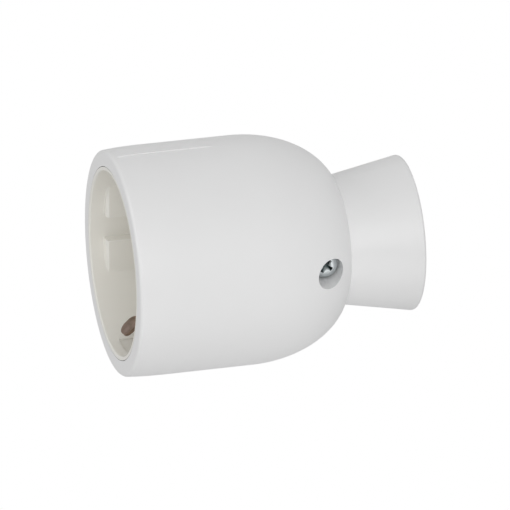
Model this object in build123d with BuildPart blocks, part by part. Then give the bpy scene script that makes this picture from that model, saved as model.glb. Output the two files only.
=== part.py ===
# Rewirable earthed socket: a one-piece bell-shaped hood, a well insert with side earth
# contacts, and the contacts, terminals and cord clamp that the hood closes round.
#
# It stands on the end of its collar with its mouth up. +Z is the axis, the two pins lie
# along Y and the two earth clips along X. All sizes are in millimetres.
import os
from math import asin, cos, degrees, radians, sin, sqrt

from build123d import *

os.makedirs("parts", exist_ok=True)

# Well of the insert, which the other radii follow outwards
well_r = 19.75
well_depth = 17.5
cup_wall = 0.8
floor_thickness = 2.5
well_fillet = 0.3
guide_inset = 2.75
guide_depth = 3.2
guide_gap = 5.5
guide_chamfer = 0.5
pin_spacing = 19.0
pin_length = 19.0
pin_hole_r = 2.75
pin_hole_chamfer = 0.5

# Hood, outside; a depth is measured from the plane of the mouth
hood_wall = 3.75
crown_length = 8.0
crown_drop = 0.4
mouth_fillet = 0.8
dome_shoulder_r = 14.0
dome_top_depth = 27.9
dome_overrun = 0.6
screw_to_crease = 6.4
collar_height = 15.7
collar_r = 16.7
collar_fillet = 0.5

# Hood, inside
dome_wall = 3.1
throat_r = 5.5
throat_length = 4.0
throat_rise = 0.2
funnel_edge = 2.4
inlet_wall = 2.4
pocket_depth = 7.0
pocket_draft = 0.2
rib_count = 6
rib_width = 1.6
rib_length = 9.5
rib_height = 1.3

# Raised line along the hood's side, and its twin opposite
ridge_turn = 1.6
ridge_width = 0.5
ridge_height = 0.2
ridge_root = 0.8
ridge_start_depth = 1.2
ridge_end_depth = 23.3
ridge_fade = 3.0

# Hood screws and the nuts they pull on; each screw lies a little off the middle plane
screw_drop = 2.9
screw_x = 1.9
counterbore_play = 0.4
screw_floor = 2.6
boss_wall = 1.0
hood_screw_head_r = 2.8
hood_screw_head_height = 2.0
hood_screw_head_fillet = 1.1
hood_screw_r = 1.5
hood_screw_tip = 0.6
nut_side = 5.5
nut_thickness = 1.8

# Cross recess and slot of the screws
cross_span = 3.2
cross_width = 0.85
cross_depth = 1.3
cross_taper = 12
slot_width = 0.7
slot_depth = 0.9

# Earth strap; the insets of clip, tip and arm are measured from the well's wall
clip_inset = 5.85
clip_depth = 5.2
tip_inset = 3.15
tip_depth = 2.3
arm_inset = 2.95
arm_bend_depth = 12.0
strap_width = 4.2
strap_thickness = 0.8
clip_bend_r = 1.6
arm_bend_r = 5.0
strap_corner_r = 1.0
tip_fillet = 1.9
floor_slot_length = 2.8
recess_width = 7.0
recess_depth = 0.4

# Rear of the insert and its chambers
arm_sink = 0.4
pin_end_room = 0.8
channel_play = 0.3
chamber_play = 0.5
chamber_inner_play = 0.2
window_r = 2.6
pilot_end = 1.5

# Pin contacts, each a rolled sleeve with a tongue
sleeve_r = 2.5
sleeve_wall = 0.6
sleeve_front_gap = 0.3
sleeve_slit = 0.9
sleeve_lead = 0.35
tongue_height = 4.6
tongue_end = 0.2
tongue_play = 0.3

# Terminals
block_near_x = 4.8
block_width = 5.6
block_side = 5.5
block_length = 10.0
block_rear_gap = 0.3
block_edge = 0.3
wire_hole_r = 1.4
wire_hole_end = 2.0
wire_hole_wall = 2.0
terminal_screw_drop = 2.7
terminal_screw_r = 1.25
terminal_head_r = 2.3
terminal_head_height = 1.6
slotted_head_edge = 0.3
earth_block_half_x = 3.2
earth_block_length = 9.2
earth_wire_x = -0.9
earth_screw_drop = 6.5
rivet_r = 1.2
rivet_head_r = 2.0
rivet_head_height = 0.5
rivet_play = 0.2

# Rear cover
cover_thickness = 2.0
wire_passage_r = 1.9
foot_gap = 0.3
post_gap = 0.2
post_wall = 0.7
post_side_wall = 0.85
post_end_wall = 0.25
post_corner_gap = 0.65
bed_inset = 1.3
bed_thickness = 4.0
bed_length = 5.2

# Cord clamp
cord_r = 4.3
cord_pinch = 0.5
clamp_thickness = 2.4
clamp_end_gap = 0.2
clamp_gap = 0.3
clamp_width = 4.0
clamp_edge = 0.8
clamp_tip_gap = 1.2
clamp_screw_r = 1.25
clamp_head_r = 2.1
clamp_head_height = 1.5

# Screws that hold the cover to the insert
cover_screw_inset = 6.6
cover_screw_y = 9.0
cover_screw_length = 10.0
cover_screw_r = 1.3
cover_head_r = 2.4
cover_head_height = 1.7
cover_head_edge = 0.9

# Clearances
bore_clearance = 0.15
shank_clearance = 0.15
nut_clearance = 0.1

# Radii, from the well outwards
bore_r = well_r + cup_wall + bore_clearance
body_r = bore_r + hood_wall
mouth_r = body_r - crown_drop
dome_centre_r = body_r - dome_shoulder_r
funnel_r = collar_r - funnel_edge
inlet_r = throat_r + inlet_wall
guide_half_width = well_r - guide_inset
clip_r = well_r - clip_inset
tip_r = well_r - tip_inset
arm_r = well_r - arm_inset
rear_r = arm_r + strap_thickness / 2 + arm_sink

# Heights, which follow from the depths below the mouth
screw_depth = well_depth + pin_length + pin_end_room + cover_thickness + screw_drop
crease_depth = screw_depth + screw_to_crease
length = crease_depth + collar_height
dome_length = crease_depth + dome_overrun - dome_top_depth
floor_z = length - well_depth
flange_z = floor_z - floor_thickness
dome_z = length - dome_top_depth
neck_z = dome_z - dome_length + dome_wall
screw_z = length - screw_depth
crease_z = length - crease_depth
throat_z = crease_z + throat_rise
funnel_height = throat_z - throat_length
rear_z = floor_z - pin_length - pin_end_room
cover_z = rear_z - cover_thickness
strap_z = flange_z - strap_thickness

# Contacts and terminals
pin_y = pin_spacing / 2
sleeve_outer_r = sleeve_r + sleeve_wall
tongue_y = pin_y + sleeve_r
tongue_reach = block_near_x + block_width - tongue_end
block_x = block_near_x + block_width / 2
block_z = rear_z + block_rear_gap
shelf_z = block_z + block_length
wire_y = tongue_y - wire_hole_wall - wire_hole_r
terminal_screw_z = shelf_z - terminal_screw_drop
sleeve_end_z = terminal_screw_z - tongue_height / 2
earth_block_half_y = strap_width / 2
earth_block_z = strap_z - earth_block_length
earth_screw_z = strap_z - earth_screw_drop
cover_screw_x = rear_r - cover_screw_inset
cover_screw_spots = [(cover_screw_x, cover_screw_y), (-cover_screw_x, -cover_screw_y)]
pilot_depth = cover_screw_length - cover_thickness + pilot_end

# The nuts' posts reach as far out as the inside of the dome lets their lower corners, and
# the bosses, screw seats and cord clamp follow them
counterbore_r = hood_screw_head_r + counterbore_play
boss_r = counterbore_r + boss_wall
post_end_z = screw_z - nut_side / 2 - post_end_wall
post_end_share = (dome_z - post_end_z) / (dome_z - neck_z)
dome_inner_r = dome_centre_r + (bore_r - dome_centre_r) * sqrt(1 - post_end_share**2)
post_width = nut_side + 2 * (nut_clearance + post_side_wall)
post_outer_y = sqrt((dome_inner_r - post_corner_gap) ** 2 - (screw_x + post_width / 2) ** 2)
nut_y = post_outer_y - post_wall - nut_clearance
post_inner_y = nut_y - nut_thickness - nut_clearance - post_wall
boss_inner_y = post_outer_y + post_gap
screw_seat_y = boss_inner_y + screw_floor
hood_screw_length = screw_seat_y - nut_y + nut_thickness + hood_screw_tip
bed_near_x = cord_r - bed_inset
bed_far_x = bed_near_x + bed_thickness
clamp_near_x = cord_r - cord_pinch
clamp_far_x = clamp_near_x + clamp_thickness
clamp_half_length = post_inner_y - clamp_end_gap
clamp_screw_y = clamp_half_length - clamp_head_r
clamp_screw_length = clamp_far_x + bed_far_x - clamp_tip_gap
clamp_z = cover_z - clamp_gap - clamp_width / 2


def across(side, height, x=0):
    """Plane at the axis that faces out along Y, with its own Y axis along +Z."""
    return Plane(origin=(x, 0, height), x_dir=(-side, 0, 0), z_dir=(0, side, 0))


def hood_screw_plane(side):
    """Plane through the axis of one hood screw that faces out along Y."""
    return across(side, screw_z, -side * screw_x)


def level(side, height):
    """Level plane of one pole: the neutral pole's is the line pole's turned half round."""
    return Plane(origin=(0, 0, height), x_dir=(-side, 0, 0), z_dir=(0, 0, 1))


def cross_screw(seat, head_r, head_height, head_edge, shank_r, shank_length):
    """Screw with its head on the seat plane and a tapered cross recess in it."""
    with BuildPart() as screw:
        with BuildSketch(seat):
            Circle(head_r)
        extrude(amount=head_height)
        fillet(screw.faces().sort_by(Axis(seat.origin, seat.z_dir))[-1].edges(), head_edge)
        with BuildSketch(seat.offset(head_height)):
            Rectangle(cross_span, cross_width)
            Rectangle(cross_width, cross_span)
        extrude(amount=-cross_depth, taper=cross_taper, mode=Mode.SUBTRACT)
        with BuildSketch(seat):
            Circle(shank_r)
        extrude(amount=-shank_length)
    return screw


def slotted_screw(seat, head_r, head_height, shank_r, shank_length):
    """Screw with its head on the seat plane and a straight slot across it."""
    with BuildPart() as screw:
        with BuildSketch(seat):
            Circle(head_r)
        extrude(amount=head_height)
        fillet(screw.faces().sort_by(Axis(seat.origin, seat.z_dir))[-1].edges(), slotted_head_edge)
        with BuildSketch(seat.offset(head_height)):
            Rectangle(3 * head_r, slot_width)
        extrude(amount=-slot_depth, mode=Mode.SUBTRACT)
        with BuildSketch(seat):
            Circle(shank_r)
        extrude(amount=-shank_length)
    return screw


# The hood's hollow: the bore for the insert, the inside of the dome, the pocket round the
# inlet tube, and the trumpet that the cord bends over
with BuildPart() as hollow:
    with BuildSketch(Plane.XZ):
        with BuildLine():
            inner_dome = EllipticalCenterArc(
                (dome_centre_r, dome_z), bore_r - dome_centre_r, dome_z - neck_z, start_angle=-90
            )
            Polyline(
                inner_dome @ 0,
                (dome_centre_r - pocket_draft, throat_z - pocket_depth),
                (inlet_r + pocket_draft, throat_z - pocket_depth),
                (inlet_r, throat_z),
                (0, throat_z),
                (0, length),
                (bore_r, length),
                inner_dome @ 1,
            )
        make_face()
    revolve(axis=Axis.Z)
    with BuildSketch(Plane.XZ):
        with BuildLine():
            flare = EllipticalCenterArc(
                (funnel_r, funnel_height), funnel_r - throat_r, funnel_height, start_angle=180
            )
            Polyline(flare @ 1, (0, 0), (0, throat_z), (throat_r, throat_z), flare @ 0)
        make_face()
    revolve(axis=Axis.Z)
    for side in (-1, 1):
        with BuildSketch(hood_screw_plane(side).offset(boss_inner_y)):
            Circle(boss_r)
        extrude(amount=body_r - boss_inner_y, mode=Mode.SUBTRACT)
    with BuildSketch(Plane.XY.offset(flange_z)):
        with PolarLocations(bore_r, rib_count, start_angle=180 / rib_count):
            Rectangle(2 * rib_height, rib_width)
    extrude(amount=-rib_length, mode=Mode.SUBTRACT)

# Hood: body, dome, neck and flared collar in one moulding
crease_angle = degrees(asin((dome_z - crease_z) / dome_length))
crease_r = dome_centre_r + dome_shoulder_r * cos(radians(crease_angle))
crown_arc_r = (crown_length**2 + crown_drop**2) / (2 * crown_drop)
ridge_start_r = body_r - crown_arc_r + sqrt(crown_arc_r**2 - (crown_length - ridge_start_depth) ** 2)
ridge_angle = ridge_width / body_r
ridge_foot_r = mouth_r - ridge_root
ridge_start_z = length - ridge_start_depth
ridge_end_z = length - ridge_end_depth
with BuildPart() as hood:
    with BuildSketch(Plane.XZ):
        with BuildLine():
            dome = EllipticalCenterArc(
                (dome_centre_r, dome_z), dome_shoulder_r, dome_length,
                start_angle=-crease_angle, arc_size=crease_angle,
            )
            crown = TangentArc((body_r, length - crown_length), (mouth_r, length), tangent=(0, 1))
            Line(dome @ 1, crown @ 0)
            Polyline(crown @ 1, (0, length), (0, 0), (collar_r, 0), dome @ 0)
        make_face()
    revolve(axis=Axis.Z)
    fillet(hood.edges().sort_by(Axis.Z)[-1], mouth_fillet)
    fillet(hood.edges().sort_by(Axis.Z)[0], collar_fillet)
    for turn in (ridge_turn, 180 + ridge_turn):
        start = radians(turn) - ridge_angle / 2
        ridge_plane = Plane(
            origin=(0, 0, 0), x_dir=(cos(start), sin(start), 0), z_dir=(sin(start), -cos(start), 0)
        )
        with BuildSketch(ridge_plane):
            with BuildLine():
                swell = TangentArc(
                    (body_r + ridge_height, length - crown_length),
                    (ridge_start_r + ridge_height, ridge_start_z),
                    tangent=(0, 1),
                )
                Polyline(
                    swell @ 1,
                    (ridge_foot_r, ridge_start_z),
                    (ridge_foot_r, ridge_end_z),
                    (body_r, ridge_end_z),
                    (body_r + ridge_height, ridge_end_z + ridge_fade),
                    swell @ 0,
                )
            make_face()
        revolve(axis=Axis.Z, revolution_arc=degrees(ridge_angle))
    add(hollow.part, mode=Mode.SUBTRACT)
    for side in (-1, 1):
        screw_seat = hood_screw_plane(side).offset(screw_seat_y)
        with BuildSketch(screw_seat):
            Circle(counterbore_r)
        extrude(amount=body_r - screw_seat_y, mode=Mode.SUBTRACT)
        with BuildSketch(screw_seat):
            Circle(hood_screw_r + shank_clearance)
        extrude(amount=-screw_floor, mode=Mode.SUBTRACT)
hood.part.label = "hood"
export_step(hood.part, "parts/hood.step")

# Insert: the well with its guide pads in front of the floor, the chambers behind it
with BuildPart() as socket_insert:
    with BuildSketch(Plane.XY.offset(flange_z)):
        Circle(bore_r - bore_clearance)
    extrude(amount=length - flange_z)
    with BuildSketch(Plane.XY.offset(floor_z)):
        Circle(well_r)
    extrude(amount=well_depth, mode=Mode.SUBTRACT)
    fillet(socket_insert.edges().group_by(Axis.Z)[-1].sort_by(SortBy.RADIUS)[0], well_fillet)
    with BuildSketch(Plane.XY.offset(floor_z)):
        Circle(well_r + cup_wall / 2)
        Rectangle(2 * bore_r, 2 * guide_half_width, mode=Mode.SUBTRACT)
        Rectangle(guide_gap, 2 * bore_r, mode=Mode.SUBTRACT)
    extrude(amount=well_depth - guide_depth)
    chamfer(socket_insert.edges().filter_by(Axis.X).group_by(Axis.Z)[-1], guide_chamfer)
    with BuildSketch(Plane.XY.offset(flange_z)):
        Circle(rear_r)
    extrude(amount=rear_z - flange_z)
    # Pin holes with a countersunk lead
    with Locations((0, pin_y, floor_z), (0, -pin_y, floor_z)):
        Hole(pin_hole_r, depth=floor_thickness)
        Cone(
            pin_hole_r, pin_hole_r + pin_hole_chamfer, pin_hole_chamfer,
            align=(Align.CENTER, Align.CENTER, Align.MAX), mode=Mode.SUBTRACT,
        )
    # Slots that the earth clips come up through, and the recess behind each clip
    with BuildSketch(Plane.XY.offset(floor_z)):
        with Locations((arm_r, 0), (-arm_r, 0)):
            Rectangle(floor_slot_length, strap_width + 2 * channel_play)
    extrude(amount=-floor_thickness, mode=Mode.SUBTRACT)
    with BuildSketch(Plane.XY.offset(floor_z)):
        Circle(well_r + recess_depth)
        Rectangle(2 * bore_r, recess_width, mode=Mode.INTERSECT)
    extrude(amount=well_depth - tip_depth, mode=Mode.SUBTRACT)
    # Channel of the earth strap, and the recess for its rivet
    with BuildSketch(Plane.XY.offset(flange_z)):
        Rectangle(2 * bore_r, strap_width + 2 * channel_play)
    extrude(amount=rear_z - flange_z, mode=Mode.SUBTRACT)
    with BuildSketch(Plane.XY.offset(flange_z)):
        Circle(rivet_head_r + rivet_play)
    extrude(amount=rivet_head_height + rivet_play, mode=Mode.SUBTRACT)
    # Chambers of the two poles, with a window for each terminal's screw
    for side in (-1, 1):
        with BuildSketch(level(side, flange_z)):
            with Locations((0, -pin_y)):
                Circle(sleeve_outer_r + chamber_play)
        extrude(amount=rear_z - flange_z, mode=Mode.SUBTRACT)
        with BuildSketch(level(side, shelf_z)):
            with Locations((0, -pin_y - sleeve_outer_r - tongue_play)):
                Rectangle(
                    block_near_x + block_width + chamber_play,
                    block_side + chamber_inner_play + sleeve_wall + tongue_play,
                    align=(Align.MIN, Align.MIN),
                )
        extrude(amount=rear_z - shelf_z, mode=Mode.SUBTRACT)
        with BuildSketch(across(side, terminal_screw_z, -side * block_x).offset(pin_y)):
            Circle(window_r)
        extrude(amount=rear_r, mode=Mode.SUBTRACT)
    # Pilot holes of the cover's screws
    with BuildSketch(Plane.XY.offset(rear_z)):
        with Locations(cover_screw_spots):
            Circle(cover_screw_r + shank_clearance)
    extrude(amount=pilot_depth, mode=Mode.SUBTRACT)
socket_insert.part.label = "socket_insert"
export_step(socket_insert.part, "parts/socket_insert.step")

# Earth strap: one folded strip, with a sprung clip at each end
strap_middle_z = flange_z - strap_thickness / 2
half_strap = [
    (tip_r, length - tip_depth),
    (clip_r, length - clip_depth),
    (arm_r, length - arm_bend_depth),
    (arm_r, strap_middle_z),
]
strap_bends = [clip_bend_r, arm_bend_r, strap_corner_r]
with BuildPart() as earth_strap:
    with BuildSketch(Plane.XZ):
        with BuildLine():
            FilletPolyline(
                *half_strap, *[(-x, z) for x, z in reversed(half_strap)],
                radius=[*strap_bends, *reversed(strap_bends)],
            )
        trace(line_width=strap_thickness)
    extrude(amount=strap_width / 2, both=True)
    tip_corners = earth_strap.edges().filter_by(lambda edge: edge.length < 1.1 * strap_thickness)
    fillet(tip_corners.group_by(Axis.Z)[-1], tip_fillet)
    with BuildSketch(Plane.XY.offset(flange_z)):
        Circle(rivet_r + shank_clearance)
    extrude(amount=-2 * strap_thickness, mode=Mode.SUBTRACT)
earth_strap.part.label = "earth_strap"
export_step(earth_strap.part, "parts/earth_strap.step")

# Earth terminal: a brass block riveted through the strap, with its own wire screw
earth_screw_seat = Plane(origin=(earth_block_half_x, 0, earth_screw_z), x_dir=(0, 1, 0), z_dir=(1, 0, 0))
with BuildPart() as earth_terminal:
    with BuildSketch(Plane.XY.offset(strap_z)):
        Rectangle(2 * earth_block_half_x, 2 * earth_block_half_y)
    block = extrude(amount=-earth_block_length)
    chamfer(block.edges().filter_by(Axis.Z), block_edge)
    with BuildSketch(Plane.XY.offset(strap_z)):
        Circle(rivet_r)
    extrude(amount=strap_thickness)
    with BuildSketch(Plane.XY.offset(flange_z)):
        Circle(rivet_head_r)
    extrude(amount=rivet_head_height)
    with BuildSketch(Plane.XY.offset(earth_block_z)):
        with Locations((earth_wire_x, 0)):
            Circle(wire_hole_r)
    extrude(amount=earth_block_length - wire_hole_end, mode=Mode.SUBTRACT)
    with BuildSketch(earth_screw_seat):
        Circle(terminal_screw_r + shank_clearance)
    extrude(amount=earth_wire_x - earth_block_half_x, mode=Mode.SUBTRACT)
earth_terminal.part.label = "earth_terminal"
export_step(earth_terminal.part, "parts/earth_terminal.step")

earth_terminal_screw = slotted_screw(
    earth_screw_seat, terminal_head_r, terminal_head_height,
    terminal_screw_r, earth_block_half_x - earth_wire_x - wire_hole_r,
)
earth_terminal_screw.part.label = "earth_terminal_screw"
export_step(earth_terminal_screw.part, "parts/earth_terminal_screw.step")

# The two poles: a rolled sleeve with a tongue, a terminal block and its screw
for side, pole in ((-1, "line"), (1, "neutral")):
    front_z = flange_z - sleeve_front_gap
    tongue_seat = across(side, terminal_screw_z, -side * block_x).offset(tongue_y + sleeve_wall)
    with BuildPart() as contact:
        with BuildSketch(level(side, front_z)):
            with Locations((0, -pin_y)):
                Circle(sleeve_outer_r)
                Circle(sleeve_r, mode=Mode.SUBTRACT)
                Rectangle(
                    2 * sleeve_outer_r, sleeve_slit,
                    align=(Align.MAX, Align.CENTER), mode=Mode.SUBTRACT,
                )
        sleeve = extrude(amount=sleeve_end_z - front_z)
        front_arcs = sleeve.edges().filter_by(GeomType.CIRCLE).group_by(Axis.Z)[-1]
        chamfer(front_arcs.sort_by(SortBy.RADIUS)[0], sleeve_lead)
        with BuildSketch(level(side, sleeve_end_z)):
            with Locations((0, -tongue_y)):
                Rectangle(tongue_reach, sleeve_wall, align=(Align.MIN, Align.MAX))
        extrude(amount=tongue_height)
        with BuildSketch(tongue_seat):
            Circle(terminal_screw_r + shank_clearance)
        extrude(amount=-sleeve_wall, mode=Mode.SUBTRACT)
    contact.part.label = f"{pole}_contact"
    export_step(contact.part, f"parts/{pole}_contact.step")

    with BuildPart() as terminal:
        with BuildSketch(level(side, block_z)):
            with Locations((block_near_x, -tongue_y)):
                Rectangle(block_width, block_side, align=(Align.MIN, Align.MIN))
        block = extrude(amount=block_length)
        chamfer(block.edges().filter_by(Axis.Z), block_edge)
        with BuildSketch(level(side, block_z)):
            with Locations((block_x, -wire_y)):
                Circle(wire_hole_r)
        extrude(amount=block_length - wire_hole_end, mode=Mode.SUBTRACT)
        with BuildSketch(tongue_seat.offset(-sleeve_wall)):
            Circle(terminal_screw_r + shank_clearance)
        extrude(amount=wire_y - tongue_y, mode=Mode.SUBTRACT)
    terminal.part.label = f"{pole}_terminal"
    export_step(terminal.part, f"parts/{pole}_terminal.step")

    terminal_screw = slotted_screw(
        tongue_seat, terminal_head_r, terminal_head_height,
        terminal_screw_r, sleeve_wall + wire_hole_wall,
    )
    terminal_screw.part.label = f"{pole}_terminal_screw"
    export_step(terminal_screw.part, f"parts/{pole}_terminal_screw.step")

# Rear cover: closes the chambers, and carries the nuts and the bed of the cord clamp
with BuildPart() as rear_cover:
    with BuildSketch(Plane.XY.offset(rear_z)):
        Circle(rear_r)
        for side in (-1, 1):
            with Locations((-side * screw_x, side * (post_outer_y + rear_r / 2))):
                Rectangle(2 * (boss_r + post_gap), rear_r, mode=Mode.SUBTRACT)
    extrude(amount=-cover_thickness)
    with BuildSketch(Plane.XY.offset(rear_z)):
        with Locations((earth_wire_x, 0)):
            Rectangle(2 * earth_block_half_y, 2 * earth_block_half_y)
    extrude(amount=earth_block_z - foot_gap - rear_z)
    with BuildSketch(Plane.XY.offset(cover_z)):
        for side in (-1, 1):
            with Locations((-side * screw_x, side * (post_inner_y + post_outer_y) / 2)):
                Rectangle(post_width, post_outer_y - post_inner_y)
    extrude(amount=post_end_z - cover_z)
    bed_side = 2 * (post_outer_y - post_wall)
    with BuildSketch(Plane.XY.offset(cover_z)):
        with Locations((bed_near_x, 0)):
            Rectangle(bed_thickness, bed_side, align=(Align.MIN, Align.CENTER))
        Circle(cord_r, mode=Mode.SUBTRACT)
    extrude(amount=-bed_length)
    # Passages for the three wires
    with BuildSketch(Plane.XY.offset(cover_z - bed_length)):
        with Locations((block_x, -wire_y), (-block_x, wire_y)):
            Circle(wire_passage_r)
    extrude(amount=bed_length + cover_thickness, mode=Mode.SUBTRACT)
    with BuildSketch(Plane.XY.offset(cover_z)):
        with Locations((earth_wire_x, 0)):
            Circle(wire_hole_r)
    extrude(amount=earth_block_z - cover_z, mode=Mode.SUBTRACT)
    # Holes of the cover's screws and of the clamp's screws
    with BuildSketch(Plane.XY.offset(cover_z)):
        with Locations(cover_screw_spots):
            Circle(cover_screw_r + shank_clearance)
    extrude(amount=cover_thickness, mode=Mode.SUBTRACT)
    with BuildSketch(Plane.YZ.offset(bed_near_x)):
        with Locations((clamp_screw_y, clamp_z), (-clamp_screw_y, clamp_z)):
            Circle(clamp_screw_r + shank_clearance)
    extrude(amount=bed_thickness, mode=Mode.SUBTRACT)
    # Nut slots, open at the rear, and the hole of each hood screw
    for side in (-1, 1):
        with BuildSketch(hood_screw_plane(side).offset(nut_y + nut_clearance)):
            Rectangle(nut_side + 2 * nut_clearance, nut_side + 2 * nut_clearance)
            with Locations((0, -nut_side)):
                Rectangle(nut_side + 2 * nut_clearance, nut_side + 2 * nut_clearance)
        extrude(amount=-nut_thickness - 2 * nut_clearance, mode=Mode.SUBTRACT)
        with BuildSketch(hood_screw_plane(side).offset(post_outer_y)):
            Circle(hood_screw_r + shank_clearance)
        extrude(amount=post_inner_y - post_outer_y, mode=Mode.SUBTRACT)
rear_cover.part.label = "rear_cover"
export_step(rear_cover.part, "parts/rear_cover.step")

# Cord clamp: a bar with a hollow for the cord's sheath
with BuildPart() as cord_clamp:
    with BuildSketch(Plane.XY.offset(clamp_z)):
        with Locations((-clamp_near_x, 0)):
            Rectangle(clamp_thickness, 2 * clamp_half_length, align=(Align.MAX, Align.CENTER))
        Circle(cord_r, mode=Mode.SUBTRACT)
    extrude(amount=clamp_width / 2, both=True)
    fillet(cord_clamp.edges().filter_by(Axis.Z).group_by(Axis.X)[0], clamp_edge)
    with BuildSketch(Plane.YZ.offset(-clamp_near_x)):
        with Locations((clamp_screw_y, clamp_z), (-clamp_screw_y, clamp_z)):
            Circle(clamp_screw_r + shank_clearance)
    extrude(amount=-clamp_thickness, mode=Mode.SUBTRACT)
cord_clamp.part.label = "cord_clamp"
export_step(cord_clamp.part, "parts/cord_clamp.step")

# Fasteners that come in pairs, one on each side
for side, name in ((-1, "right"), (1, "left")):
    hood_screw = cross_screw(
        hood_screw_plane(side).offset(screw_seat_y), hood_screw_head_r, hood_screw_head_height,
        hood_screw_head_fillet, hood_screw_r, hood_screw_length,
    )
    hood_screw.part.label = f"hood_screw_{name}"
    export_step(hood_screw.part, f"parts/hood_screw_{name}.step")

    with BuildPart() as hood_nut:
        with BuildSketch(hood_screw_plane(side).offset(nut_y)):
            Rectangle(nut_side, nut_side)
            Circle(hood_screw_r + nut_clearance, mode=Mode.SUBTRACT)
        extrude(amount=-nut_thickness)
    hood_nut.part.label = f"hood_nut_{name}"
    export_step(hood_nut.part, f"parts/hood_nut_{name}.step")

    clamp_seat = Plane(
        origin=(-clamp_far_x, side * clamp_screw_y, clamp_z), x_dir=(0, -1, 0), z_dir=(-1, 0, 0)
    )
    clamp_screw = slotted_screw(
        clamp_seat, clamp_head_r, clamp_head_height, clamp_screw_r, clamp_screw_length
    )
    clamp_screw.part.label = f"cord_clamp_screw_{name}"
    export_step(clamp_screw.part, f"parts/cord_clamp_screw_{name}.step")

    cover_seat = Plane(
        origin=(side * cover_screw_x, side * cover_screw_y, cover_z), x_dir=(1, 0, 0), z_dir=(0, 0, -1)
    )
    cover_screw = cross_screw(
        cover_seat, cover_head_r, cover_head_height, cover_head_edge,
        cover_screw_r, cover_screw_length,
    )
    cover_screw.part.label = f"cover_screw_{name}"
    export_step(cover_screw.part, f"parts/cover_screw_{name}.step")
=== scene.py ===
# %% [markdown]
# This lesson dresses an earthed socket: a white moulded hood with a flared collar, a cream
# insert with the round well that the plug goes into, a copper strip whose two ends stand
# up as earth clips, and a zinc screw in a round hole at the neck. The measured solids are
# loaded first, and everything after that is finish: light, materials and the fine forms,
# such as threads, that are too small for the measured model. All lengths are in metres.

# %% Load the measured solids
import math

import bmesh
import bpy
from mathutils import Matrix, Vector


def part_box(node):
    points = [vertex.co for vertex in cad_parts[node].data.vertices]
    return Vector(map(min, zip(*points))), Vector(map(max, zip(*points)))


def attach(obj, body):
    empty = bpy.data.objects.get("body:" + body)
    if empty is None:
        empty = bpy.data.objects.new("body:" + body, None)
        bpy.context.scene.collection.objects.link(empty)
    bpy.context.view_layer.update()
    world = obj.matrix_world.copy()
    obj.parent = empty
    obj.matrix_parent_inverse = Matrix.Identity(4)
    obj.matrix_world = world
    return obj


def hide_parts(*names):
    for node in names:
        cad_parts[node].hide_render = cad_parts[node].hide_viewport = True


mm = 0.001


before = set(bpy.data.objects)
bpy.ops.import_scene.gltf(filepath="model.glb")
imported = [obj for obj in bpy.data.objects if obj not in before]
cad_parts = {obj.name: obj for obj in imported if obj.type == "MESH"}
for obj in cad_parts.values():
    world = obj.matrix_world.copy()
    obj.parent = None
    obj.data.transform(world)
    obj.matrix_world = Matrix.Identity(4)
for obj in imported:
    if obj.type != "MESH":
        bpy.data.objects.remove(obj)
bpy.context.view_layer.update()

# %% [markdown]
# The picture was taken from far away with a long lens, so parallel edges stay almost
# parallel. The camera could be aimed with a constraint, but here its three axes are worked
# out, because the picture is also rolled: the socket's own axis, which points up
# in this scene, runs from right to left in the picture, 6 degrees off level.

# %% Camera
view_azimuth = math.radians(25.5)
view_elevation = math.radians(14)
picture_roll = math.radians(6.14)
picture_width = 108.05 * mm
camera_distance = 2.0
camera_reach = 10.0
aim_height = 33.25 * mm
aim_shift = -1.41 * mm

back = Vector((
    math.sin(view_azimuth) * math.cos(view_elevation),
    -math.cos(view_azimuth) * math.cos(view_elevation),
    math.sin(view_elevation),
))
across_axis = Vector((math.cos(view_azimuth), math.sin(view_azimuth), 0))
along_axis = across_axis.cross(back)
picture_right = along_axis * math.cos(picture_roll) - across_axis * math.sin(picture_roll)
picture_up = along_axis * math.sin(picture_roll) + across_axis * math.cos(picture_roll)
aim = Vector((0, 0, aim_height)) + across_axis * aim_shift

scene = bpy.context.scene
camera_data = bpy.data.cameras.new("camera")
camera_data.lens = camera_data.sensor_width * camera_distance / picture_width
camera_data.clip_end = camera_reach
camera = bpy.data.objects.new("camera", camera_data)
turned = Matrix((picture_right, picture_up, back)).transposed().to_4x4()
camera.matrix_world = Matrix.Translation(aim + back * camera_distance) @ turned
scene.collection.objects.link(camera)
scene.camera = camera
print("lens", round(camera_data.lens), "mm, picture", picture_width / mm, "mm wide at the socket")

# %% [markdown]
# The picture's ground is pure white with no shadow, as in a light tent. A floor that is
# simply very bright would also throw its light back onto the socket and wash out the
# shading of the side that faces it. So floor and surroundings each have two faces: the
# Light Path node gives rays from the lens a plain white, and gives all other rays a softer
# pale one, which is what lights the socket.

# %% White for the lens
white = (1, 1, 1, 1)

scene.view_settings.view_transform = "Standard"
scene.view_settings.look = "None"


def white_to_lens(tree, shader_socket, output_socket):
    """Mixes a shader with plain white light that only rays from the lens see."""
    path = tree.nodes.new("ShaderNodeLightPath")
    plain = tree.nodes.new("ShaderNodeEmission")
    plain.inputs["Color"].default_value = white
    plain.inputs["Strength"].default_value = 1.0
    mix = tree.nodes.new("ShaderNodeMixShader")
    tree.links.new(path.outputs["Is Camera Ray"], mix.inputs[0])
    tree.links.new(shader_socket, mix.inputs[1])
    tree.links.new(plain.outputs[0], mix.inputs[2])
    tree.links.new(mix.outputs[0], output_socket)


# %% [markdown]
# The floor is one large face, pale and matt, that glows a little of itself. It lies a hair
# below the collar's end, because two faces in one plane would flicker.

# %% Floor
floor_half = 3.0
floor_drop = 0.05 * mm
floor_colour = (0.8, 0.8, 0.8, 1)
floor_roughness = 0.9
floor_glow = 0.05

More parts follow.
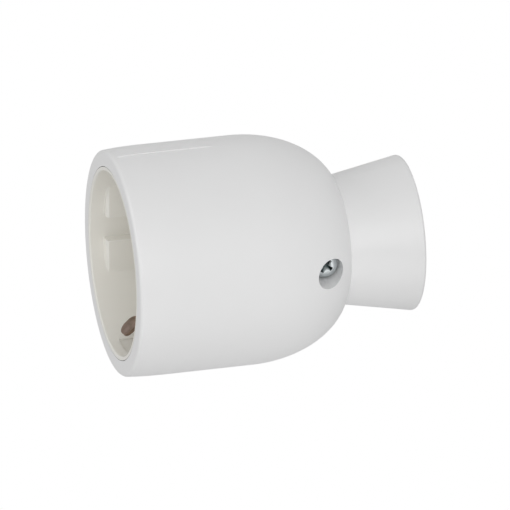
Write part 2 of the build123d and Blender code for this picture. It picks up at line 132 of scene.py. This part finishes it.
floor_mesh = bpy.data.meshes.new("floor")
corners = [(-1, -1), (1, -1), (1, 1), (-1, 1)]
floor_mesh.from_pydata([(x * floor_half, y * floor_half, 0) for x, y in corners], [], [(0, 1, 2, 3)])
floor = bpy.data.objects.new("floor", floor_mesh)
floor.location.z = -floor_drop
scene.collection.objects.link(floor)

floor_material = bpy.data.materials.new("pale_floor")
floor_material.use_nodes = True
floor_tree = floor_material.node_tree
floor_shader = floor_tree.nodes["Principled BSDF"]
floor_shader.inputs["Base Color"].default_value = floor_colour
floor_shader.inputs["Roughness"].default_value = floor_roughness
floor_shader.inputs["Emission Color"].default_value = white
floor_shader.inputs["Emission Strength"].default_value = floor_glow
floor_output = floor_tree.nodes["Material Output"]
white_to_lens(floor_tree, floor_shader.outputs[0], floor_output.inputs["Surface"])
floor_mesh.materials.append(floor_material)
print("floor", 2 * floor_half, "m wide,", round(floor_drop / mm, 3), "mm below the socket")

# %% [markdown]
# The walls of a light tent send soft light from everywhere. The world does the same here,
# and it keeps the sides that no lamp reaches from going dark.

# %% Surrounding light
surround_strength = 0.485

world = bpy.data.worlds.new("surround")
world.use_nodes = True
world_tree = world.node_tree
surround = world_tree.nodes["Background"]
surround.inputs["Color"].default_value = white
surround.inputs["Strength"].default_value = surround_strength
world_output = world_tree.nodes["World Output"]
white_to_lens(world_tree, surround.outputs[0], world_output.inputs["Surface"])
scene.world = world
print("surround", surround_strength)

# %% [markdown]
# One large soft panel stands behind the camera and gives the hood its broad bright middle.
# Two weaker ones, 30 degrees towards the picture's top and 60 degrees towards its bottom,
# lift the sides and light the screw's hole. A last one hangs nearly in line with the well
# and looks down into it. Panels are used, not points, because a satin moulding shows the
# shape of its lamps in its highlights.

# %% Studio lamps
lamp_distance = 1.0
lamp_size = 0.6
upper_direction = back + math.tan(math.radians(30)) * picture_up
lower_direction = back - math.tan(math.radians(60)) * picture_up
mouth_direction = 0.35 * back + 0.35 * picture_up - 1.3 * picture_right


def panel(name, direction, power):
    """Square area lamp in the given direction from the aim point, turned to face it."""
    lamp = bpy.data.lights.new(name, "AREA")
    lamp.shape = "SQUARE"
    lamp.size = lamp_size
    lamp.energy = power
    lamp_object = bpy.data.objects.new(name, lamp)
    lamp_object.location = aim + direction.normalized() * lamp_distance
    lamp_object.rotation_mode = "QUATERNION"
    lamp_object.rotation_quaternion = direction.to_track_quat("Z", "Y")
    scene.collection.objects.link(lamp_object)


panel("main_panel", back, power=2.04)
panel("upper_panel", upper_direction, power=0.52)
panel("lower_panel", lower_direction, power=1.24)
panel("mouth_panel", mouth_direction, power=1.75)

# %% [markdown]
# Marks that several materials share are worth a node group each. The groups here give
# only numbers, such as a height or a mask, and the shader stays in the material. Three
# small functions keep them readable: one makes a group with its sockets, one places a
# Math node, and one places noise whose spots have a size in millimetres.

# %% Helpers of the groups
def new_group(name, inputs, outputs):
    """Shader node group with float inputs, given with their start values, and float outputs."""
    group = bpy.data.node_groups.new(name, "ShaderNodeTree")
    for socket, value in inputs.items():
        made = group.interface.new_socket(name=socket, in_out="INPUT", socket_type="NodeSocketFloat")
        made.default_value = value
    for socket in outputs:
        group.interface.new_socket(name=socket, in_out="OUTPUT", socket_type="NodeSocketFloat")
    entry = group.nodes.new("NodeGroupInput")
    result = group.nodes.new("NodeGroupOutput")
    return group, entry.outputs, result.inputs


def maths(tree, operation, *values):
    """Math node whose inputs are sockets or numbers; returns its output socket."""
    node = tree.nodes.new("ShaderNodeMath")
    node.operation = operation
    for socket, value in zip(node.inputs, values):
        if isinstance(value, bpy.types.NodeSocket):
            tree.links.new(value, socket)
        else:
            socket.default_value = value
    return node.outputs[0]


def noise(tree, vector, size_mm, detail):
    """Noise texture with spots of a size given by a socket in millimetres."""
    node = tree.nodes.new("ShaderNodeTexNoise")
    node.inputs["Detail"].default_value = detail
    tree.links.new(vector, node.inputs["Vector"])
    tree.links.new(maths(tree, "DIVIDE", 1 / mm, size_mm), node.inputs["Scale"])
    return node.outputs["Fac"]


# %% [markdown]
# Every moulded piece has the same two marks of its making: a fine grain from the mould's
# surface, and a slow waviness where the plastic has shrunk. One group holds both, so that
# each material can ask for its own sizes. It gives out a height and a mottled mask.

# %% Group: moulded skin
grain_detail = 3
wave_detail = 1
mottle_detail = 4

moulded_skin, entry, result = new_group(
    "moulded_skin", {"Grain mm": 0.35, "Wave mm": 9.0, "Grain share": 0.3}, ["Height", "Mottle"]
)
place = moulded_skin.nodes.new("ShaderNodeTexCoord").outputs["Object"]
grain = noise(moulded_skin, place, entry["Grain mm"], grain_detail)
wave = noise(moulded_skin, place, entry["Wave mm"], wave_detail)
grain_part = maths(moulded_skin, "MULTIPLY", grain, entry["Grain share"])
wave_share = maths(moulded_skin, "SUBTRACT", 1.0, entry["Grain share"])
wave_part = maths(moulded_skin, "MULTIPLY", wave, wave_share)
mottle = noise(moulded_skin, place, entry["Wave mm"], mottle_detail)
moulded_skin.links.new(maths(moulded_skin, "ADD", grain_part, wave_part), result["Height"])
moulded_skin.links.new(mottle, result["Mottle"])
print("group", moulded_skin.name, "gives", [socket.name for socket in result if socket.name])

# %% [markdown]
# No real edge is a knife edge. The Bevel node rounds the normal near an edge, so comparing
# it with the true normal marks the edges. The materials take a lighter colour where this
# mask is high: on plastic this is a painted highlight, and on metal it is partly the polish
# of handling and partly a painted highlight.

# %% Group: lit and worn edges
bevel_samples = 4
edge_gain = 4.0

lit_and_worn_edges, entry, result = new_group("lit_and_worn_edges", {"Radius mm": 0.2}, ["Edge"])
rounding = lit_and_worn_edges.nodes.new("ShaderNodeBevel")
rounding.samples = bevel_samples
radius = maths(lit_and_worn_edges, "MULTIPLY", entry["Radius mm"], mm)
lit_and_worn_edges.links.new(radius, rounding.inputs["Radius"])
true_normal = lit_and_worn_edges.nodes.new("ShaderNodeNewGeometry").outputs["Normal"]
likeness = lit_and_worn_edges.nodes.new("ShaderNodeVectorMath")
likeness.operation = "DOT_PRODUCT"
lit_and_worn_edges.links.new(rounding.outputs["Normal"], likeness.inputs[0])
lit_and_worn_edges.links.new(true_normal, likeness.inputs[1])
change = maths(lit_and_worn_edges, "SUBTRACT", 1.0, likeness.outputs["Value"])
marked = maths(lit_and_worn_edges, "MULTIPLY", change, edge_gain)
lit_and_worn_edges.links.new(maths(lit_and_worn_edges, "MINIMUM", marked, 1.0), result["Edge"])
print("group", lit_and_worn_edges.name, "gives", [socket.name for socket in result if socket.name])

# %% [markdown]
# A screw's cross looks dark, and this is painted shade: recesses of the metal take a dark
# colour. The Ambient Occlusion node says how much of the open air a point sees within a
# short reach, and what it doesn't see is the mask for this painted shade.

# %% Group: painted shade in recesses
openness_samples = 8

painted_recess_shade, entry, result = new_group("painted_recess_shade", {"Reach mm": 2.0, "Gain": 1.9}, ["Depth"])
openness = painted_recess_shade.nodes.new("ShaderNodeAmbientOcclusion")
openness.samples = openness_samples
openness.only_local = True
reach = maths(painted_recess_shade, "MULTIPLY", entry["Reach mm"], mm)
painted_recess_shade.links.new(reach, openness.inputs["Distance"])
hidden = maths(painted_recess_shade, "SUBTRACT", 1.0, openness.outputs["AO"])
gained = maths(painted_recess_shade, "MULTIPLY", hidden, entry["Gain"])
painted_recess_shade.links.new(maths(painted_recess_shade, "MINIMUM", gained, 1.0), result["Depth"])
print("group", painted_recess_shade.name, "gives", [socket.name for socket in result if socket.name])

# %% [markdown]
# Strip and bar metal keeps the lines of the rolls and dies that it was drawn through.
# Noise that is stretched along one direction gives such lines. The group also gives a
# patchy mask for the dull film that copper and brass grow in air.

# %% Group: drawn metal
line_detail = 2
film_detail = 5

drawn_metal, entry, result = new_group(
    "drawn_metal", {"Line mm": 0.08, "Stretch": 30.0, "Patch mm": 2.5}, ["Lines", "Film"]
)
place = drawn_metal.nodes.new("ShaderNodeTexCoord").outputs["Object"]
split = drawn_metal.nodes.new("ShaderNodeSeparateXYZ")
drawn_metal.links.new(place, split.inputs[0])
joined = drawn_metal.nodes.new("ShaderNodeCombineXYZ")
drawn_metal.links.new(split.outputs["X"], joined.inputs["X"])
drawn_metal.links.new(split.outputs["Y"], joined.inputs["Y"])
squeezed = maths(drawn_metal, "DIVIDE", split.outputs["Z"], entry["Stretch"])
drawn_metal.links.new(squeezed, joined.inputs["Z"])
lines = noise(drawn_metal, joined.outputs[0], entry["Line mm"], line_detail)
film = noise(drawn_metal, place, entry["Patch mm"], film_detail)
drawn_metal.links.new(lines, result["Lines"])
drawn_metal.links.new(film, result["Film"])
print("group", drawn_metal.name, "gives", [socket.name for socket in result if socket.name])

# %% [markdown]
# Each finish is then a short recipe: two colours mixed by a mask, a range of roughness
# driven by the same mask, and a bump. There is one recipe for plastic and one for metal,
# because within each kind the finishes differ only in their numbers.

# %% Helpers of the recipes
# The Mix node has two inputs and an output for each kind of data, and these are the
# places of the ones for colours
mix_inputs = slice(6, 8)
mix_output = 2
noise_low = 0.3
noise_high = 0.7
finishes = {}


def use_group(tree, group, **values):
    """Places a group in a material with its own values for the named inputs."""
    node = tree.nodes.new("ShaderNodeGroup")
    node.node_tree = group
    for socket, value in values.items():
        node.inputs[socket.replace("_", " ")].default_value = value
    return node


def mix_colours(tree, factor, low, high):
    """Colour that goes from low to high with the factor; returns the output socket."""
    node = tree.nodes.new("ShaderNodeMix")
    node.data_type = "RGBA"
    tree.links.new(factor, node.inputs["Factor"])
    for socket, value in zip(node.inputs[mix_inputs], (low, high)):
        if isinstance(value, bpy.types.NodeSocket):
            tree.links.new(value, socket)
        else:
            socket.default_value = (*value, 1)
    return node.outputs[mix_output]


def spread(tree, factor, low, high):
    """Value that goes from low to high as noise goes over its usual middle range."""
    node = tree.nodes.new("ShaderNodeMapRange")
    tree.links.new(factor, node.inputs["Value"])
    node.inputs["From Min"].default_value = noise_low
    node.inputs["From Max"].default_value = noise_high
    node.inputs["To Min"].default_value = low
    node.inputs["To Max"].default_value = high
    return node.outputs["Result"]


def new_finish(name, metallic):
    """Material that is kept in finishes under its name; returns its tree and its shader."""
    material = bpy.data.materials.new(name)
    material.use_nodes = True
    finishes[name] = material
    shader = material.node_tree.nodes["Principled BSDF"]
    shader.inputs["Metallic"].default_value = metallic
    return material.node_tree, shader


def add_bump(tree, shader, height, depth_mm):
    """Lets a height from 0 to 1, which stands for depth_mm, tilt the shader's normal."""
    bump = tree.nodes.new("ShaderNodeBump")
    bump.inputs["Distance"].default_value = depth_mm * mm
    tree.links.new(height, bump.inputs["Height"])
    tree.links.new(bump.outputs["Normal"], shader.inputs["Normal"])


# %% [markdown]
# Moulded plastic has one colour right through, so its mottling is slight, and one mask
# moves colour and gloss together. Its edges get a paler colour as a painted highlight, and
# its skin is a bump of about a hundredth of a millimetre.

# %% Recipe for moulded plastic
grain_share = 0.35
plastic_edge_mm = 0.45


def plastic_finish(name, light, dark, painted_edge_highlight, smooth, rough, grain_mm, wave_mm, depth_mm):
    """Moulded plastic: mottled colour and gloss, a painted highlight on the edges, grain as a bump.
    """
    tree, shader = new_finish(name, 0)
    skin = use_group(tree, moulded_skin, Grain_mm=grain_mm, Wave_mm=wave_mm, Grain_share=grain_share)
    edges = use_group(tree, lit_and_worn_edges, Radius_mm=plastic_edge_mm)
    mottled = mix_colours(tree, skin.outputs["Mottle"], dark, light)
    # painted highlight: the edges take the paler colour
    colour = mix_colours(tree, edges.outputs["Edge"], mottled, painted_edge_highlight)
    roughness = spread(tree, skin.outputs["Mottle"], rough, smooth)
    tree.links.new(colour, shader.inputs["Base Color"])
    tree.links.new(roughness, shader.inputs["Roughness"])
    add_bump(tree, shader, skin.outputs["Height"], depth_mm)


# %% [markdown]
# Metal that was rolled or drawn has four colours, laid one over the other: its clean
# colour, a dull film in patches, edges lighter partly by polish and partly as a painted
# highlight, and painted shade in its recesses. Where the film lies the metal is also rougher.

# %% Recipe for drawn metal
metal_edge_mm = 0.15


def metal_finish(name, clean, filmed, polish_and_highlight, shade, smooth, rough, line_mm, stretch, depth_mm):
    """Drawn metal: dull film in patches, painted shade in recesses, edges lighter by polish and a
    painted highlight, draw lines as a bump.
    """
    tree, shader = new_finish(name, 1)
    marks = use_group(tree, drawn_metal, Line_mm=line_mm, Stretch=stretch)
    edges = use_group(tree, lit_and_worn_edges, Radius_mm=metal_edge_mm)
    shaded_recesses = use_group(tree, painted_recess_shade)
    film = spread(tree, marks.outputs["Film"], 0.0, 1.0)
    aged = mix_colours(tree, film, clean, filmed)
    # edges: partly polish, partly painted highlight
    lit_and_polished = mix_colours(tree, edges.outputs["Edge"], aged, polish_and_highlight)
    # painted shade: recesses take the dark shade colour
    colour = mix_colours(tree, shaded_recesses.outputs["Depth"], lit_and_polished, shade)
    roughness = spread(tree, marks.outputs["Film"], smooth, rough)
    tree.links.new(colour, shader.inputs["Base Color"])
    tree.links.new(roughness, shader.inputs["Roughness"])
    add_bump(tree, shader, marks.outputs["Lines"], depth_mm)


# %% [markdown]
# The hood is a white thermoset with a satin gloss, moulded in one piece. It is about as
# white as plastic gets, so that light which has bounced once or twice still fills the
# screw's deep hole.

# %% Hood white
plastic_finish(
    "hood_white",
    light=(0.90, 0.90, 0.90), dark=(0.885, 0.885, 0.885), painted_edge_highlight=(0.95, 0.95, 0.95),
    smooth=0.30, rough=0.40, grain_mm=0.4, wave_mm=11, depth_mm=0.012,
)
print("finishes:", list(finishes))

# %% [markdown]
# The insert is about as bright as the hood, but cream and more matt, with a finer grain.
# In the well the light goes from wall to wall, and each bounce takes more of its blue, so
# the cream looks deeper there by itself and its colour can stay faint.

# %% Insert cream
plastic_finish(
    "insert_cream",
    light=(0.90, 0.888, 0.838), dark=(0.88, 0.862, 0.805), painted_edge_highlight=(0.93, 0.925, 0.89),
    smooth=0.42, rough=0.52, grain_mm=0.3, wave_mm=7, depth_mm=0.012,
)
print("finishes:", list(finishes))

# %% [markdown]
# The rear cover and the bar of the cord clamp lie inside the hood. Such pieces are often
# moulded in a plainer grade, so theirs is a duller cream and the most matt of the three.

# %% Cover cream
plastic_finish(
    "cover_cream",
    light=(0.70, 0.67, 0.57), dark=(0.66, 0.63, 0.53), painted_edge_highlight=(0.76, 0.74, 0.66),
    smooth=0.5, rough=0.6, grain_mm=0.3, wave_mm=5, depth_mm=0.015,
)
print("finishes:", list(finishes))

# %% [markdown]
# The earth strap is a bare copper alloy that has gone dark and brown in the air. Its clips
# are the only metal in the well, and they show as dull brown tongues against the cream.

# %% Clip copper
metal_finish(
    "clip_copper",
    clean=(0.44, 0.31, 0.26), filmed=(0.22, 0.17, 0.125),
    polish_and_highlight=(0.57, 0.42, 0.37), shade=(0.06, 0.04, 0.03),
    smooth=0.30, rough=0.48, line_mm=0.08, stretch=25, depth_mm=0.004,
)
print("finishes:", list(finishes))

# %% [markdown]
# The two sleeves that take the plug's pins are rolled from springy bronze strip. They sit
# closed in behind the well's floor, so they have kept more of their colour.

# %% Contact bronze
metal_finish(
    "contact_bronze",
    clean=(0.72, 0.50, 0.30), filmed=(0.52, 0.36, 0.20),
    polish_and_highlight=(0.86, 0.66, 0.44), shade=(0.16, 0.10, 0.05),
    smooth=0.29, rough=0.42, line_mm=0.08, stretch=25, depth_mm=0.004,
)
print("finishes:", list(finishes))

# %% [markdown]
# The terminals are cut from bright drawn brass bar. Their yellow tells them from the
# bronze, and they are the smoothest of the three bare metals.

# %% Terminal brass
metal_finish(
    "terminal_brass",
    clean=(0.80, 0.62, 0.30), filmed=(0.62, 0.46, 0.20),
    polish_and_highlight=(0.92, 0.78, 0.46), shade=(0.18, 0.12, 0.05),
    smooth=0.28, rough=0.40, line_mm=0.1, stretch=25, depth_mm=0.004,
)
print("finishes:", list(finishes))

# %% [markdown]
# Screws and nuts are steel with a bluish coat of zinc. The coat fills most of the draw
# lines, so the ones that are left are coarser and hardly stretched.

# %% Screw zinc
metal_finish(
    "screw_zinc",
    clean=(0.80, 0.84, 0.85), filmed=(0.68, 0.72, 0.73),
    polish_and_highlight=(0.93, 0.96, 0.97), shade=(0.05, 0.07, 0.07),
    smooth=0.28, rough=0.42, line_mm=0.15, stretch=4, depth_mm=0.004,
)
print("finishes:", list(finishes))

# %% [markdown]
# The measured solids come in with plain materials that are named after their finishes, so
# each one only has to be swapped for the recipe of the same name.

# %% Dress every solid
for name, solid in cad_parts.items():
    for material_slot in solid.material_slots:
        finish_name = material_slot.material.name.split(".")[0]
        material_slot.material = finishes[finish_name]
print("dressed", len(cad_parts), "solids")

# %% [markdown]
# The screws' threads are too fine for the measured solids, which have plain shanks, so
# each screw gets a new shank. Its skin is a grid whose columns climb by one pitch in a
# turn, so that crest and root run along the grid's own lines and stay crisp with few
# faces. Each pitch has two rows at the root and two at the crest, so both are flat.

# %% Threaded shank
thread_columns = 28
thread_profile = [0.0, 0.0, 1.0, 1.0]
thread_depth_share = 0.6
tip_taper = 0.5 * mm
weld_distance = 1e-7


def add_thread(mesh, start, direction, length, major, pitch):
    """Adds a closed threaded shank to a bmesh, from start along direction."""
    side = direction.orthogonal().normalized()
    other = direction.cross(side)
    root = major - thread_depth_share * pitch
    steps = len(thread_profile)
    rows = steps * (math.ceil(length / pitch) + 1)
    grid = []
    for column in range(thread_columns + 1):
        share = column / thread_columns
        angle = 2 * math.pi * share
        ray = side * math.cos(angle) + other * math.sin(angle)
        points = []
        for row in range(rows + 1):
            along = pitch * (row / steps - 1 + share)
            inside = 0 < along < length
            along = min(max(along, 0), length)
            limit = root + (major - root) * min(1, (length - along) / tip_taper)
            radius = root + (major - root) * thread_profile[row % steps] if inside else root
            points.append(mesh.verts.new(start + direction * along + ray * min(radius, limit)))
        grid.append(points)
    for left, right in zip(grid, grid[1:]):
        for row in range(rows):
            mesh.faces.new((left[row], right[row], right[row + 1], left[row + 1]))
    made = [vertex for points in grid for vertex in points]
    bmesh.ops.remove_doubles(mesh, verts=made, dist=weld_distance)
    rims = [edge for edge in mesh.edges if edge.is_boundary]
    bmesh.ops.holes_fill(mesh, edges=rims, sides=2 * thread_columns)


# %% [markdown]
# The head stays as it was measured, with its cross or slot and its seat. It is cut off a
# little under the seat, the cut is closed, and the new shank starts inside the short neck
# that is left. No two screws come to rest alike, so each head is also turned about its own
# axis. The new piece takes the plain one's place.

# %% One threaded screw
neck_length = 0.3 * mm
smooth_angle = math.radians(35)
any_sides = 0


def threaded_screw(name, out, head_height, major, pitch, turn):
    """Replaces a plain screw by one with the same head, turned, and a threaded shank."""
    low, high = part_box(name)
    middle = (low + high) / 2
    head_top = max((corner - middle).dot(out) for corner in (low, high))
    tip = min((corner - middle).dot(out) for corner in (low, high))
    cut = head_top - head_height - neck_length
    cut_point = middle + out * cut

    mesh = bmesh.new()
    mesh.from_mesh(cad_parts[name].data)
    bmesh.ops.remove_doubles(mesh, verts=mesh.verts, dist=weld_distance)
    bmesh.ops.rotate(mesh, verts=mesh.verts, cent=middle, matrix=Matrix.Rotation(turn, 3, out))
    everything = mesh.verts[:] + mesh.edges[:] + mesh.faces[:]
    bmesh.ops.bisect_plane(mesh, geom=everything, plane_co=cut_point, plane_no=out, clear_inner=True)
    rims = [edge for edge in mesh.edges if edge.is_boundary]
    bmesh.ops.holes_fill(mesh, edges=rims, sides=any_sides)
    overlap = neck_length / 2
    add_thread(mesh, cut_point + out * overlap, -out, cut - tip + overlap, major, pitch)

    data = bpy.data.meshes.new(f"{name}_threaded")
    mesh.to_mesh(data)
    mesh.free()
    data.materials.append(finishes["screw_zinc"])
    data.shade_smooth()
    data.set_sharp_from_angle(angle=smooth_angle)
    screw = bpy.data.objects.new(f"{name}_threaded", data)
    scene.collection.objects.link(screw)
    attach(screw, "root")
    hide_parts(name)
    return screw


# %% [markdown]
# Pairs of screws hold the hood, the cord clamp and the rear cover, and one more grips the
# wire in each terminal. The cover's screws cut their own thread in plastic, so it is about
# twice as coarse. Each row says which way the head faces, how high it is, the thread's
# radius and pitch, all three in millimetres, and the head's turn in degrees.

# %% All nine screws
screw_sizes = [
    ("hood_screw_right", (0, -1, 0), 2.0, 1.5, 0.5, -35),
    ("hood_screw_left", (0, 1, 0), 2.0, 1.5, 0.5, 20),
    ("cord_clamp_screw_right", (-1, 0, 0), 1.5, 1.25, 0.45, 15),
    ("cord_clamp_screw_left", (-1, 0, 0), 1.5, 1.25, 0.45, -50),
    ("cover_screw_right", (0, 0, -1), 1.7, 1.3, 0.9, 30),
    ("cover_screw_left", (0, 0, -1), 1.7, 1.3, 0.9, -10),
    ("line_terminal_screw", (0, -1, 0), 1.6, 1.25, 0.45, 40),
    ("neutral_terminal_screw", (0, 1, 0), 1.6, 1.25, 0.45, -25),
    ("earth_terminal_screw", (1, 0, 0), 1.6, 1.25, 0.45, 70),
]
for name, out, head_height, major, pitch, turn in screw_sizes:
    screw = threaded_screw(
        name, Vector(out), head_height * mm, major * mm, pitch * mm, math.radians(turn)
    )
    print(screw.name, "faces", len(screw.data.polygons))
